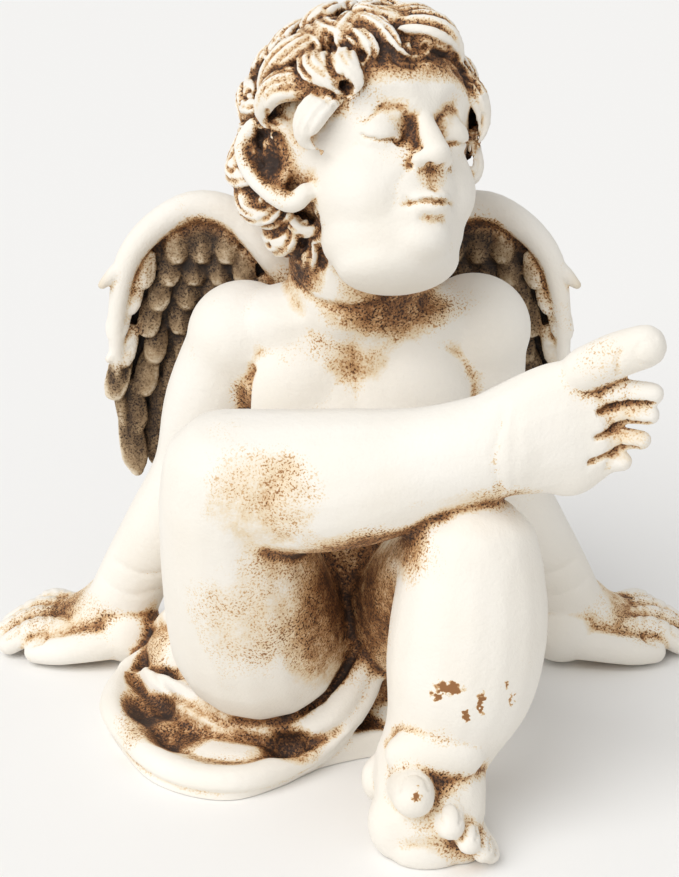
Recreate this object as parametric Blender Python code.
"""A sleeping cherub in cast stone. It sits on its drapery, leans back on both hands and rests the
right ankle on the left knee. It looks towards -Y, +Z is up, and the ground is z = 0."""

import math
import random

import bmesh
import bpy
import numpy as np
from mathutils import Euler, Matrix, Vector

# Ground to the top of the curls, in metres. Every form below is a share of this height.
HEIGHT = 0.400
# The pose is laid out on a figure this many units tall, with its seat on z = 0
FIGURE_UNITS = 390.0
UNIT = HEIGHT / FIGURE_UNITS

# How finely the clay is fused, in units, and how many rounds of smoothing soften its joins.
BODY_GRAIN = 2.4
BODY_ROUNDS = 9
DETAIL_GRAIN = 1.5
DETAIL_ROUNDS = 3
# How far the clay reaches below the ground before it is cut off, in units.
SINK = 8
# Triangles of the faceted solid, before its underside is cut flat.
FACES = 9700

STONE = (0.80, 0.74, 0.64, 1.0)
STONE_ROUGHNESS = 0.85
HAIR_SEED = 7


# Modelling clay: closed shells that overlap, fused afterwards into one skin


def to_world(point, place):
    """A point in units, moved by place where there is one, in metres."""
    point = Vector(point)
    return (place @ point if place else point) * UNIT


def spread(rows, steps):
    """Rows read from a smooth curve through the given rows, steps of them to each gap."""
    rows = np.array(rows, float)
    padded = np.vstack([2 * rows[0] - rows[1], rows, 2 * rows[-1] - rows[-2]])
    found = []
    for a, b, c, d in zip(padded, padded[1:], padded[2:], padded[3:]):
        for t in np.arange(steps) / steps:
            bend = t * t * (a - 2.5 * b + 2 * c - 0.5 * d)
            found.append(b + 0.5 * t * (c - a) + bend + t**3 * (1.5 * (b - c) + 0.5 * (d - a)))
    return np.array([*found, rows[-1]])


def domed(rows):
    """The rows of a tube with two smaller rings added beyond each end."""
    caps = []
    for tip, inner in ((rows[0], rows[1]), (rows[-1], rows[-2])):
        outward = (tip[:3] - inner[:3]) / np.linalg.norm(tip[:3] - inner[:3])
        ring = []
        for share in (0.87, 0.5):
            reach = math.sqrt(1 - share * share) * tip[3:5].min()
            ring.append([*(tip[:3] + outward * reach), *(tip[3:5] * share)])
        caps.append((ring, tip[:3] + outward * tip[3:5].min()))
    (head, first), (tail, last) = caps
    return np.array([*head[::-1], *rows, *tail]), first, last


def add_tube(clay, stations, side=(1, 0, 0), corners=16, steps=4, place=None):
    """A closed tube with domed ends. A station is x, y, z, half width along side, half depth."""
    rows = spread(stations, steps)
    rows[:, 3:] = np.maximum(rows[:, 3:], 0.4)
    rows, first, last = domed(rows)
    along = np.gradient(rows[:, :3], axis=0)
    along /= np.linalg.norm(along, axis=1)[:, None]
    side = np.array(side, float)
    across = side - along * (along @ side)[:, None]
    across /= np.linalg.norm(across, axis=1)[:, None]
    depth = np.cross(along, across)
    rings = []
    for row, wide, deep in zip(rows, across, depth):
        ring = []
        for turn in np.arange(corners) * 2 * math.pi / corners:
            rim = wide * row[3] * math.cos(turn) + deep * row[4] * math.sin(turn)
            ring.append(clay.verts.new(to_world(row[:3] + rim, place)))
        rings.append(ring)
    for lower, upper in zip(rings, rings[1:]):
        for j in range(corners):
            k = (j + 1) % corners
            clay.faces.new((lower[j], lower[k], upper[k], upper[j]))
    for ring, tip in ((rings[0][::-1], first), (rings[-1], last)):
        pole = clay.verts.new(to_world(tip, place))
        for j in range(corners):
            clay.faces.new((ring[j], ring[(j + 1) % corners], pole))


def add_ball(clay, centre, radii, turn=(0, 0, 0), place=None, rings=14):
    """An ellipsoid, turned by degrees about x, y and z."""
    shape = Matrix.LocRotScale(
        Vector(centre), Euler([math.radians(a) for a in turn]), Vector(radii)
    )
    shape = Matrix.Scale(UNIT, 4) @ (place or Matrix()) @ shape
    bmesh.ops.create_uvsphere(
        clay, u_segments=2 * rings, v_segments=rings, radius=1.0, matrix=shape
    )


def fused(clay, grain, rounds):
    """The overlapping shells made one skin by a voxel remesh, then softened."""
    mesh = bpy.data.meshes.new("cherub")
    clay.to_mesh(mesh)
    clay.free()
    obj = bpy.data.objects.new("cherub", mesh)
    bpy.context.scene.collection.objects.link(obj)
    remesh = obj.modifiers.new("Fuse", "REMESH")
    remesh.mode = "VOXEL"
    remesh.voxel_size = grain * UNIT
    soften = obj.modifiers.new("Soften", "SMOOTH")
    soften.iterations = rounds
    apply_modifiers(obj)
    return obj


def apply_modifiers(obj):
    graph = bpy.context.evaluated_depsgraph_get()
    made = bpy.data.meshes.new_from_object(obj.evaluated_get(graph))
    obj.modifiers.clear()
    obj.data = made


def back_to_clay(obj):
    """The object's mesh as clay again, so that more can be added to it."""
    clay = bmesh.new()
    clay.from_mesh(obj.data)
    bpy.data.objects.remove(obj)
    return clay


# Sculpting: moves of a finished skin's points


def skin_of(obj):
    """The object's points and their normals, in metres."""
    count = len(obj.data.vertices)
    points, normals = np.empty(count * 3, np.float32), np.empty(count * 3, np.float32)
    obj.data.vertices.foreach_get("co", points)
    obj.data.vertices.foreach_get("normal", normals)
    return points.reshape(-1, 3).astype(float), normals.reshape(-1, 3).astype(float)


def press(obj, centre, radius, depth, place=None, squash=(1, 1, 1)):
    """Pushes in a soft round hollow, or swells the skin where depth is negative."""
    points, normals = skin_of(obj)
    reach = np.array(squash, float) * radius * UNIT
    away = (points - np.array(to_world(centre, place))) / reach
    share = np.clip(1 - (away**2).sum(axis=1), 0, 1) ** 2
    points -= normals * (share * depth * UNIT)[:, None]
    obj.data.vertices.foreach_set("co", points.astype(np.float32).ravel())
    obj.data.update()


def crease(obj, line, width, depth, place=None):
    """Cuts a groove along a smooth line of points."""
    points, normals = skin_of(obj)
    line = np.array([to_world(p, place) for p in spread(line, 6)])
    near = np.full(len(points), np.inf)
    box = width * UNIT * 3
    inside = ((points > line.min(0) - box) & (points < line.max(0) + box)).all(axis=1)
    picked = points[inside]
    for a, b in zip(line, line[1:]):
        run = b - a
        t = np.clip((picked - a) @ run / (run @ run), 0, 1)
        near[inside] = np.minimum(
            near[inside], np.linalg.norm(picked - a - t[:, None] * run, axis=1)
        )
    share = np.exp(-((near / (width * UNIT)) ** 2))
    points -= normals * (share * depth * UNIT)[:, None]
    obj.data.vertices.foreach_set("co", points.astype(np.float32).ravel())
    obj.data.update()


# Torso and limbs

SHOULDERS = {-1: (54, 33, 206), 1: (69, 33, 210)}
RIGHT_KNEE = (-58, -90, 176)
LEFT_KNEE = (62, -112, 140)
RIGHT_ANKLE = (80, -113, 203)
LEFT_ANKLE = (42, -122, 34)


def add_torso(clay):
    add_tube(
        clay,
        [
            (1, 16, 30, 54, 46),
            (2, 14, 60, 62, 50),
            (3, 8, 100, 55, 46),
            (5, 11, 140, 55, 42),
            (6, 20, 176, 60, 38),
            (7, 28, 206, 56, 30),
        ],
        corners=32,
    )
    add_ball(clay, (3, -12, 96), (40, 34, 40))
    add_ball(clay, (6, 9, 205), (52, 19, 27))
    for sign, (x, y, z) in SHOULDERS.items():
        add_ball(clay, (sign * x, y, z), (31, 30, 30))
        # Breast, shoulder blade and buttock
        add_ball(clay, (sign * 27 + 7, 6, 182), (32, 22, 34))
        add_ball(clay, (sign * 34 + 6, 46, 178), (26, 16, 32), turn=(0, sign * 12, 0))
        add_ball(clay, (sign * 31, 30, 42), (35, 36, 40))
        # The slope from neck to shoulder
        add_ball(clay, (sign * 30 + 6, 22, 217), (34, 26, 22))


def add_neck(clay):
    add_tube(clay, [(6, 30, 196, 48, 34), (7, 20, 234, 38, 34), (8, 14, 268, 38, 36)])


def add_arms(clay):
    for sign, (x, y, z) in SHOULDERS.items():
        add_tube(
            clay,
            [
                (sign * x, y, z, 29, 29),
                (sign * 73, 42, 165, 26, 26),
                (sign * 85, 52, 122, 22, 22),
                (sign * 101, 58, 86, 23, 23),
                (sign * 118, 62, 56, 21, 19),
                (sign * 128, 63, 34, 21, 18),
            ],
        )


def add_legs(clay):
    # Right thigh, raised towards the viewer, then the shin that crosses
    add_tube(
        clay,
        [
            (-38, 2, 52, 46, 46),
            (-45, -42, 66, 48, 47),
            (-52, -70, 112, 42, 42),
            (-57, -86, 158, 36, 36),
            (*RIGHT_KNEE, 33, 33),
        ],
    )
    add_tube(
        clay,
        [
            (*RIGHT_KNEE, 33, 33),
            (-25, -96, 175, 36, 34),
            (10, -104, 181, 34, 32),
            (45, -110, 192, 27, 25),
            (*RIGHT_ANKLE, 26, 23),
        ],
        side=(0, 0, 1),
    )
    # Left thigh, then the lower leg that stands in front
    add_tube(
        clay,
        [(36, 2, 52, 46, 46), (46, -40, 80, 44, 43), (56, -82, 116, 39, 38), (*LEFT_KNEE, 34, 34)],
    )
    add_tube(
        clay,
        [
            (*LEFT_KNEE, 35, 34),
            (61, -118, 112, 39, 37),
            (57, -122, 80, 38, 36),
            (49, -122, 52, 30, 28),
            (*LEFT_ANKLE, 27, 25),
        ],
    )


# Hands, flat on the ground, with the thumbs to the front

# Of each finger: how far out and how far back its tip lies, and how thick it is
FINGERS = ((195, 60, 8.2), (201, 74, 8.2), (197, 88, 7.8), (187, 101, 7.0))


def add_hands(clay):
    for sign in (-1, 1):
        back_of_hand = [(134, 66, 32, 20, 17), (146, 72, 22, 26, 14), (162, 77, 14, 27, 11)]
        add_tube(clay, [(sign * x, *rest) for x, *rest in back_of_hand], side=(0, 1, 0))
        add_ball(clay, (sign * 125, 56, 18), (21, 19, 18))
        for tip, y, thick in FINGERS:
            root = 72 + (y - 80) * 0.8
            add_tube(
                clay,
                [
                    (sign * 156, root, 17, thick, thick),
                    (sign * (0.5 * tip + 80), y, 17, thick, thick * 0.95),
                    (sign * tip, y, 7.5, thick * 0.85, thick * 0.8),
                ],
                side=(0, 1, 0),
            )
        thumb = [(126, 52, 16, 13, 12), (150, 46, 13, 10, 9.5), (166, 47, 10, 9.5, 8.5), (178, 50, 8, 8, 7)]
        add_tube(clay, [(sign * x, *rest) for x, *rest in thumb], side=(0, 1, 0))


# Feet

RIGHT_TOES = (
    ((112, -119, 241), (126, -124, 250), (139, -128, 256), 11.0),
    ((118, -119, 228), (132, -124, 232), (144, -127, 232), 5.8),
    ((118, -118, 217), (132, -123, 221), (143, -126, 221), 5.4),
    ((117, -117, 205), (130, -122, 208), (140, -125, 208), 5.2),
    ((113, -115, 193), (124, -120, 195), (132, -122, 196), 5.2),
)
LEFT_TOES = (
    ((30, -148, 33), (32, -160, 40), (33, -170, 41), 11.0),
    ((45, -150, 27), (49, -164, 30), (51, -172, 26), 7.2),
    ((54, -150, 19), (58, -164, 21), (60, -172, 17), 6.4),
    ((60, -148, 12), (65, -162, 13), (67, -169, 10), 6.0),
    ((64, -144, 6), (69, -156, 7), (71, -163, 5), 5.6),
)


def add_toes(clay, toes, side):
    for root, middle, tip, thick in toes:
        add_tube(
            clay,
            [(*root, thick, thick), (*middle, thick, thick * 0.95), (*tip, thick * 0.95, thick * 0.9)],
            side=side,
        )


def add_right_foot(clay):
    """The back of this foot faces the viewer, its heel lies behind and its big toe is uppermost."""
    add_tube(
        clay,
        [
            (72, -112, 201, 26, 23),
            (92, -113, 207, 31, 20),
            (108, -116, 212, 33, 15),
            (117, -118, 214, 30, 11),
        ],
        side=(0, 0, 1),
    )
    add_ball(clay, (84, -96, 190), (22, 20, 20))
    add_ball(clay, (106, -116, 196), (20, 13, 20))
    add_toes(clay, RIGHT_TOES, (0, 0, 1))


def add_left_foot(clay):
    """This foot stands on its outer edge, so its sole and the ball of the big toe show."""
    add_ball(clay, (42, -112, 18), (27, 24, 24))
    add_tube(
        clay,
        [(42, -122, 34, 28, 27), (42, -138, 30, 28, 24), (42, -154, 22, 27, 18)],
    )
    add_ball(clay, (27, -150, 16), (16, 17, 20))
    add_ball(clay, (56, -150, 8), (15, 17, 14))
    add_ball(clay, (40, -158, 8), (20, 13, 14))
    add_ball(clay, (18, -122, 24), (10, 11, 13))
    add_ball(clay, (44, -145, 51), (25, 13, 15))
    add_toes(clay, LEFT_TOES, (1, 0, 0))


# Head and face, in the head's own frame: the face looks towards -Y

HEAD = (
    Matrix.Translation((12, 11, 317))
    @ Matrix.Rotation(math.radians(35), 4, "Z")
    @ Matrix.Rotation(math.radians(-28), 4, "X")
    @ Matrix.Rotation(math.radians(11), 4, "Y")
)


def add_head(clay):
    """Skull, brow, cheeks, mouth, jaw and the soft fold under the chin."""
    add_ball(clay, (0, 4, 6), (53, 57, 55), place=HEAD)
    add_ball(clay, (0, -19, 15), (45, 39, 38), place=HEAD)
    add_ball(clay, (0, -16, -28), (43, 38, 36), place=HEAD)
    add_ball(clay, (0, -12, -52), (37, 35, 23), place=HEAD)
    add_ball(clay, (0, -36, -60), (16, 16, 12), place=HEAD)
    add_ball(clay, (0, -14, -66), (33, 28, 16), place=HEAD)
    add_ball(clay, (0, -40, -44), (19, 14, 15), place=HEAD)
    for sign in (-1, 1):
        add_ball(clay, (sign * 17, -27, -32), (23, 21, 24), place=HEAD)


def add_face(clay):
    """A calm, generic child's face: an upturned nose, closed lips and closed lids."""
    nose = [(0, -50, -2, 5.5, 5), (0, -55, -11, 6, 5), (0, -58, -19, 7, 6)]
    add_tube(clay, nose, place=HEAD)
    add_ball(clay, (0, -59, -22), (7.5, 7, 6.5), place=HEAD)
    upper = [(-11, -49, -44), (-5, -54.5, -42.5), (0, -56, -43.5), (5, -54.5, -42.5), (11, -49, -44)]
    lower = [(-9, -49, -46.5), (-4, -53.5, -48), (0, -54.5, -48.5), (4, -53.5, -48), (9, -49, -46.5)]
    add_tube(clay, [(*p, 2.7, 2.4) for p in upper], side=(0, 0, 1), place=HEAD, corners=10)
    add_tube(clay, [(*p, 3.0, 2.7) for p in lower], side=(0, 0, 1), place=HEAD, corners=10)
    for sign in (-1, 1):
        add_ball(clay, (sign * 7, -54.5, -24), (5, 5, 4.5), place=HEAD)
        add_ball(clay, (sign * 20, -40, -8), (12, 11, 10.5), place=HEAD)


def sculpt_face(obj):
    for sign in (-1, 1):
        press(obj, (sign * 20, -54, 4), 14, 2.2, HEAD, squash=(1.3, 1, 0.6))
        press(obj, (sign * 9.5, -52, -7), 7, 2.6, HEAD, squash=(0.8, 1, 1.3))
        lashes = [(sign * 10, -49, -11), (sign * 20, -49, -15.5), (sign * 32, -42, -11)]
        crease(obj, lashes, 2.0, 2.2, HEAD)
        press(obj, (sign * 13.5, -49, -45), 5, 1.8, HEAD)
        press(obj, (sign * 3.6, -58, -29), 3, 3.2, HEAD)
        press(obj, (sign * 57, 0, -12), 13, 6.0, HEAD, squash=(1, 1, 1.15))
    crease(obj, [(-11, -51, -45), (0, -57, -46), (11, -51, -45)], 1.6, 2.4, HEAD)


def add_ears(clay):
    for sign in (-1, 1):
        rim = [
            (sign * 47, -9, -6, 4, 4),
            (sign * 52, -6, 4, 4.5, 4.5),
            (sign * 60, 6, 9, 4.5, 4.5),
            (sign * 64, 16, 0, 4.5, 5),
            (sign * 62, 15, -14, 4.5, 5),
            (sign * 56, 6, -27, 5, 5.5),
            (sign * 50, -3, -34, 6, 5.5),
            (sign * 46, -9, -30, 5, 5),
        ]
        add_tube(clay, rim, side=(0, 1, 0), place=HEAD, corners=10)
        add_ball(clay, (sign * 52, 7, -10), (7, 11, 17), place=HEAD)


# Hair: curled locks laid like tiles from the crown down

CROWN = Matrix.Rotation(math.radians(-20), 4, "X")
SCALP_CENTRE = Vector((0, 4, 7))
SCALP = Vector((55, 60, 56))
# Of each ring: degrees down from the crown, how many locks, and their length in degrees
LOCK_RINGS = ((4, 5, 42), (28, 10, 38), (50, 14, 36), (70, 16, 36), (90, 16, 34), (106, 14, 30))
# The locks over the brow and about the ears: half thickness and lift, then the path in degrees
# down from the crown and around from the brow
BROW_LOCKS = (
    (11.0, 9, (66, -4), (74, 10), (81, 24), (89, 37)),
    (9.0, 8, (58, -6), (62, 10), (66, 28), (76, 42)),
    (6.0, 7, (56, -36), (64, -22), (78, -15), (89, -9), (87, 5)),
    (7.5, 5, (66, -28), (76, -26), (86, -24), (92, -30)),
    (6.0, 8, (64, -8), (58, -20), (50, -26)),
    (7.5, 9, (72, -46), (85, -51), (97, -46), (106, -40)),
    (6.0, 9, (76, -34), (90, -38), (101, -35), (107, -43)),
    (7.5, 10, (94, -50), (85, -68), (89, -83), (102, -86)),
    (7.0, 8, (98, -46), (105, -60), (113, -69), (125, -63)),
    (8.5, 9, (60, -44), (70, -60), (76, -78), (88, -92)),
    (6.5, 5, (98, -94), (96, -112), (118, -114), (126, -106)),
    (6.5, 6, (116, -118), (130, -126), (141, -118), (138, -103)),
    (6.5, 6, (126, -134), (140, -134), (147, -116), (142, -104)),
    (6.5, 5, (88, 34), (98, 44), (112, 54), (124, 52)),
    (6.0, 5, (80, 44), (92, 60), (106, 66), (118, 60)),
    (6.0, 5, (84, 66), (92, 82), (104, 88), (98, 96)),
    (6.5, 5, (98, 96), (96, 112), (118, 114), (128, 104)),
    (4.5, 6, (116, 58), (128, 63), (140, 60), (144, 54)),
    (6.5, 6, (118, 118), (132, 126), (143, 116), (139, 103)),
    (8.5, 14, (90, -112), (104, -126), (118, -122), (122, -106)),
    (8.5, 15, (102, -136), (118, -144), (130, -130), (127, -112)),
    (8.0, 15, (116, -156), (131, -156), (139, -138), (134, -120)),
    (8.5, 12, (76, -106), (90, -120), (102, -112), (105, -98)),
    (8.5, 14, (92, 116), (106, 128), (120, 120), (122, 106)),
    (8.5, 15, (104, 142), (120, 146), (131, 130), (127, 114)),
)


def hairline(around):
    """Degrees from the crown to the edge of the hair, at degrees around from the brow."""
    aside = abs((around + 180) % 360 - 180)
    t = min(max((aside - 52) / 60, 0), 1)
    return 92 + 48 * t * t * (3 - 2 * t)


def on_scalp(down, around, lift):
    """A point over the scalp, in the head's frame."""
    a, b = math.radians(down), math.radians(around)
    ray = CROWN @ Vector((math.sin(a) * math.sin(b), -math.sin(a) * math.cos(b), math.cos(a)))
    return SCALP_CENTRE + Vector([r * s for r, s in zip(ray, SCALP)]) + ray * lift


def add_lock(clay, thick, lift, path):
    """One lock along the scalp: it swells, rises off the head and curls out to a fine tip."""
    angles = spread(path, 3)
    stations = []
    for t, (down, around) in zip(np.linspace(0, 1, len(angles)), angles):
        rise = lift * (0.1 + 0.9 * math.sin(math.pi * min(t * 1.2, 1))) + 3.5 * t**3
        swell = 0.5 + 0.55 * math.sin(math.pi * min(t + 0.12, 1))
        width = thick * swell * (1 - 0.55 * t**4)
        stations.append((*on_scalp(down, around, rise), width, width * 0.65))
    middle = Vector(stations[len(stations) // 2][:3])
    along = Vector(stations[-1][:3]) - Vector(stations[0][:3])
    side = along.cross(middle - SCALP_CENTRE)
    add_tube(clay, stations, side=side, place=HEAD, corners=10, steps=1)


def add_hair(clay):
    chance = random.Random(HAIR_SEED)
    add_ball(clay, (0, 10, 12), (56, 57, 56), place=HEAD)
    # The fuller hair at the nape
    for sign in (-1, 1):
        add_ball(clay, on_scalp(112, sign * 130, 0), (16, 16, 17), place=HEAD)
        add_ball(clay, on_scalp(126, sign * 152, 0), (16, 16, 16), place=HEAD)
    for around in range(-44, 64, 12):
        end = hairline(around) - chance.uniform(1, 7)
        add_lock(clay, 8.5, 4, wavy_path(around, 46, end, chance))
    for thick, lift, *path in BROW_LOCKS:
        add_lock(clay, thick, lift, path)
    for ring, (first, count, length) in enumerate(LOCK_RINGS):
        for n in range(count):
            around = (n + 0.5 * (ring % 2) + chance.uniform(-0.2, 0.2)) * 360 / count
            around = (around + 180) % 360 - 180
            down = first + chance.uniform(-4, 4)
            edge = hairline(around)
            if down > edge - 8 or (down > 44 and -92 < around < 60):
                continue
            end = min(down + length * chance.uniform(0.85, 1.2), edge + chance.uniform(0, 6))
            add_lock(
                clay,
                chance.uniform(6.0, 7.5),
                chance.uniform(4, 7),
                wavy_path(around, down, end, chance),
            )


def wavy_path(around, down, end, chance):
    """A path down the scalp that swings from side to side."""
    swing = chance.uniform(7, 12) * chance.choice((-1, 1))
    drift, phase = chance.uniform(-14, 14), chance.uniform(0.0, 0.35)
    path = []
    for t in (0, 0.33, 0.66, 1):
        at = down + (end - down) * t
        spacing = math.sin(math.radians(min(max(at, 25), 150)))
        bend = swing * math.sin(2 * math.pi * (0.85 * t + phase)) + drift * t
        path.append((at, around + bend / spacing))
    return path


# Wings: a hollowed shell under a thick leading edge, tiled with feathers on both sides

WING_ROOT = 26
# Of each row of feathers: height of the roots, how far out it starts and ends, number and length
FEATHER_ROWS = (
    (252, 36, 62, 3, 16),
    (240, 24, 76, 5, 17),
    (227, 14, 86, 6, 18),
    (213, 10, 90, 6, 19),
    (198, 12, 90, 6, 20),
    (182, 18, 91, 6, 23),
    (165, 30, 91, 5, 29),
    (147, 48, 90, 4, 37),
)
# The leading edge: how far out, height, forward of the sheet, and half width
LEADING_EDGE = (
    (-8, 209, -2, 8),
    (12, 242, 0, 9),
    (32, 261, 0, 9.5),
    (54, 265, 1, 9),
    (75, 255, 3, 8),
    (89, 238, 4, 7),
    (95, 214, 5, 5.5),
    (97, 190, 5, 4.5),
    (97, 166, 4, 4),
    (95, 144, 3, 3.5),
    (91, 124, 1, 3),
)
# Feather tips that stand out beyond the edge: height, and how far out they start and end
SPURS = ((226, 90, 103), (182, 90, 101))
# The bare sheet: height, how far out its middle is, and its half width and depth
WING_SHEET = ((252, 50, 22, 6), (228, 50, 42, 6), (194, 56, 44, 5), (160, 64, 36, 4.5), (128, 76, 20, 4))


def on_wing(sign, out, height, front):
    """A point in the wing's curved sheet: out from its root, at a height, front of its middle."""
    hollow = 14 * math.sin(math.pi * min(max(out / 104, 0), 1))
    back = 64 + hollow + 0.06 * (230 - height)
    return Vector((sign * (WING_ROOT + out) - 3, back - front, height))


def add_wings(clay):
    for sign in (-1, 1):
        for height, root, tip in SPURS:
            middle = 0.5 * (root + tip)
            spur = ((root, height + 9, 3, 5), (middle, height + 5, 4, 4.5), (tip, height, 6, 2.5))
            add_tube(clay, [(*on_wing(sign, out, z, front), r, r) for out, z, front, r in spur])
        sheet = [(*on_wing(sign, out, z, 0), wide, deep) for z, out, wide, deep in WING_SHEET]
        add_tube(clay, sheet)
        edge = [(*on_wing(sign, out, z, front), r, r) for out, z, front, r in LEADING_EDGE]
        add_tube(clay, edge, side=(0, 1, 0))
        for row, (height, first, last, count, length) in enumerate(FEATHER_ROWS):
            for n in range(count):
                out = first + (last - first) * n / (count - 1) + 3 * (row % 2)
                add_feather(clay, sign, out, height, length, 1)
                add_feather(clay, sign, out, height, length, -1)


def add_feather(clay, sign, out, height, length, face):
    """A round-tipped feather that stands a little off the row below. Face 1 is the front."""
    splay = 0.30 * (out - 45) / 55 if height > 170 else -0.12
    wide = 5.6 + length * 0.06
    point = 0.72 if length < 25 else 0.45
    stations = []
    for t, share in ((0, 0.75), (0.35, 1.0), (0.75, 1.0), (0.97, point)):
        proud = face * (2.4 + 4.4 * t)
        at = on_wing(sign, out + splay * length * t, height - length * t, proud)
        stations.append((*at, wide * share, 2.4))
    add_tube(clay, stations, corners=10, steps=3)


# Drapery: a slab with a rolled hem, and folds that run up between the thighs

# The slab's edge on the ground, x and y
CLOTH_EDGE = (
    (-60, 70), (-98, 62), (-116, 44), (-127, 14), (-130, -20), (-117, -56), (-101, -84),
    (-77, -100), (-54, -102), (-31, -86), (-13, -70), (14, -58), (38, -54), (70, -38),
    (88, -6), (90, 34), (66, 66), (4, 76),
)
CLOTH_TOP = 14
HEM = (
    (-104, 50, 9, 6),
    (-121, 22, 9, 7),
    (-127, -18, 9, 8),
    (-112, -56, 8, 8),
    (-94, -82, 8, 8),
    (-74, -95, 8, 8),
    (-52, -96, 8, 8),
    (-30, -82, 8, 8),
    (-12, -68, 11, 7),
    (4, -60, 25, 6),
    (14, -57, 42, 5),
    (18, -54, 62, 5),
)
FOLDS = (
    ((-112, 10, 11, 7), (-92, -18, 14, 9), (-72, -40, 15, 10), (-52, -50, 15, 12), (-29, -61, 16, 9),
     (-7, -61, 27, 8), (11, -55, 54, 7), (16, -50, 76, 6)),
    ((-52, -40, 20, 8), (-26, -49, 32, 8), (-8, -51, 48, 7), (0, -49, 68, 6)),
    ((-109, 56, 8, 7), (-105, 46, 24, 6), (-97, 32, 38, 7), (-84, 16, 50, 9)),
    ((-122, 22, 10, 7), (-110, 34, 13, 7), (-98, 38, 16, 7)),
)


def add_slab(clay, outline, top):
    """A closed slab from below the ground up to top, inside a smooth outline."""
    loop = spread([*outline, outline[0]], 4)[:-1]
    middle = loop.mean(axis=0)
    levels = ((1.0, -SINK), (1.0, top - 3), (0.975, top))
    rings = []
    for share, z in levels:
        ring = [(*(middle + (p - middle) * share), z) for p in loop]
        rings.append([clay.verts.new(to_world(p, None)) for p in ring])
    for lower, upper in zip(rings, rings[1:]):
        for j in range(len(loop)):
            k = (j + 1) % len(loop)
            clay.faces.new((lower[j], lower[k], upper[k], upper[j]))
    clay.faces.new(rings[0][::-1])
    clay.faces.new(rings[-1])


def add_drapery(clay):
    add_slab(clay, CLOTH_EDGE, CLOTH_TOP)
    add_ball(clay, (-48, -14, 12), (52, 52, 18))
    add_ball(clay, (-92, 30, 12), (22, 28, 24))
    add_ball(clay, (8, 2, 34), (44, 50, 40))
    add_ball(clay, (36, -6, 18), (46, 46, 26))
    add_tube(clay, [(x, y, z, r, r) for x, y, z, r in HEM], side=(0, 0, 1), corners=12)
    for fold in FOLDS:
        add_tube(clay, [(x, y, z, r, r) for x, y, z, r in fold], side=(0, 0, 1), corners=12)


def sculpt_drapery(obj):
    """The two pockets between the hem and the first fold."""
    press(obj, (-104, -28, 12), 22, 5)
    press(obj, (-88, -60, 12), 20, 5)
    press(obj, (-30, -72, 12), 15, 6, squash=(1.1, 1.3, 1.2))


# The whole statue


def outer_skin(clay):
    """Leaves only the largest closed skin, so that no sealed hollow is left inside."""
    left, skins = set(clay.verts), []
    while left:
        front = [left.pop()]
        skin = list(front)
        while front:
            near = [e.other_vert(v) for v in front for e in v.link_edges]
            front = [v for v in dict.fromkeys(near) if v in left]
            left.difference_update(front)
            skin += front
        skins.append(skin)
    skins.sort(key=len)
    bmesh.ops.delete(clay, geom=[v for skin in skins[:-1] for v in skin], context="VERTS")


def cut_flat(obj):
    """Cuts the statue off at the ground, so that it rests on flat faces."""
    clay = bmesh.new()
    clay.from_mesh(obj.data)
    outer_skin(clay)
    everything = clay.verts[:] + clay.edges[:] + clay.faces[:]
    bmesh.ops.bisect_plane(
        clay, geom=everything, plane_co=(0, 0, 0), plane_no=(0, 0, 1), clear_inner=True
    )
    rims = [e for e in clay.edges if e.is_boundary]
    bmesh.ops.holes_fill(clay, edges=rims, sides=0)
    bmesh.ops.triangulate(clay, faces=clay.faces[:])
    bmesh.ops.recalc_face_normals(clay, faces=clay.faces[:])
    clay.to_mesh(obj.data)
    clay.free()


def stone():
    material = bpy.data.materials.new("cast_stone")
    material.diffuse_color = STONE
    material.use_nodes = True
    shader = material.node_tree.nodes["Principled BSDF"]
    shader.inputs["Base Color"].default_value = STONE
    shader.inputs["Roughness"].default_value = STONE_ROUGHNESS
    return material


def build():
    for obj in list(bpy.data.objects):
        bpy.data.objects.remove(obj)
    clay = bmesh.new()
    for add in (add_torso, add_neck, add_arms, add_legs, add_head):
        add(clay)
    clay = back_to_clay(fused(clay, BODY_GRAIN, BODY_ROUNDS))
    for add in (add_hands, add_right_foot, add_left_foot, add_drapery):
        add(clay)
    for add in (add_face, add_ears, add_hair, add_wings):
        add(clay)
    cherub = fused(clay, DETAIL_GRAIN, DETAIL_ROUNDS)
    sculpt_face(cherub)
    sculpt_drapery(cherub)
    thin = cherub.modifiers.new("Facets", "DECIMATE")
    thin.ratio = FACES / (2 * len(cherub.data.polygons))
    apply_modifiers(cherub)
    cut_flat(cherub)
    cherub.data.materials.clear()
    cherub.data.materials.append(stone())


build()
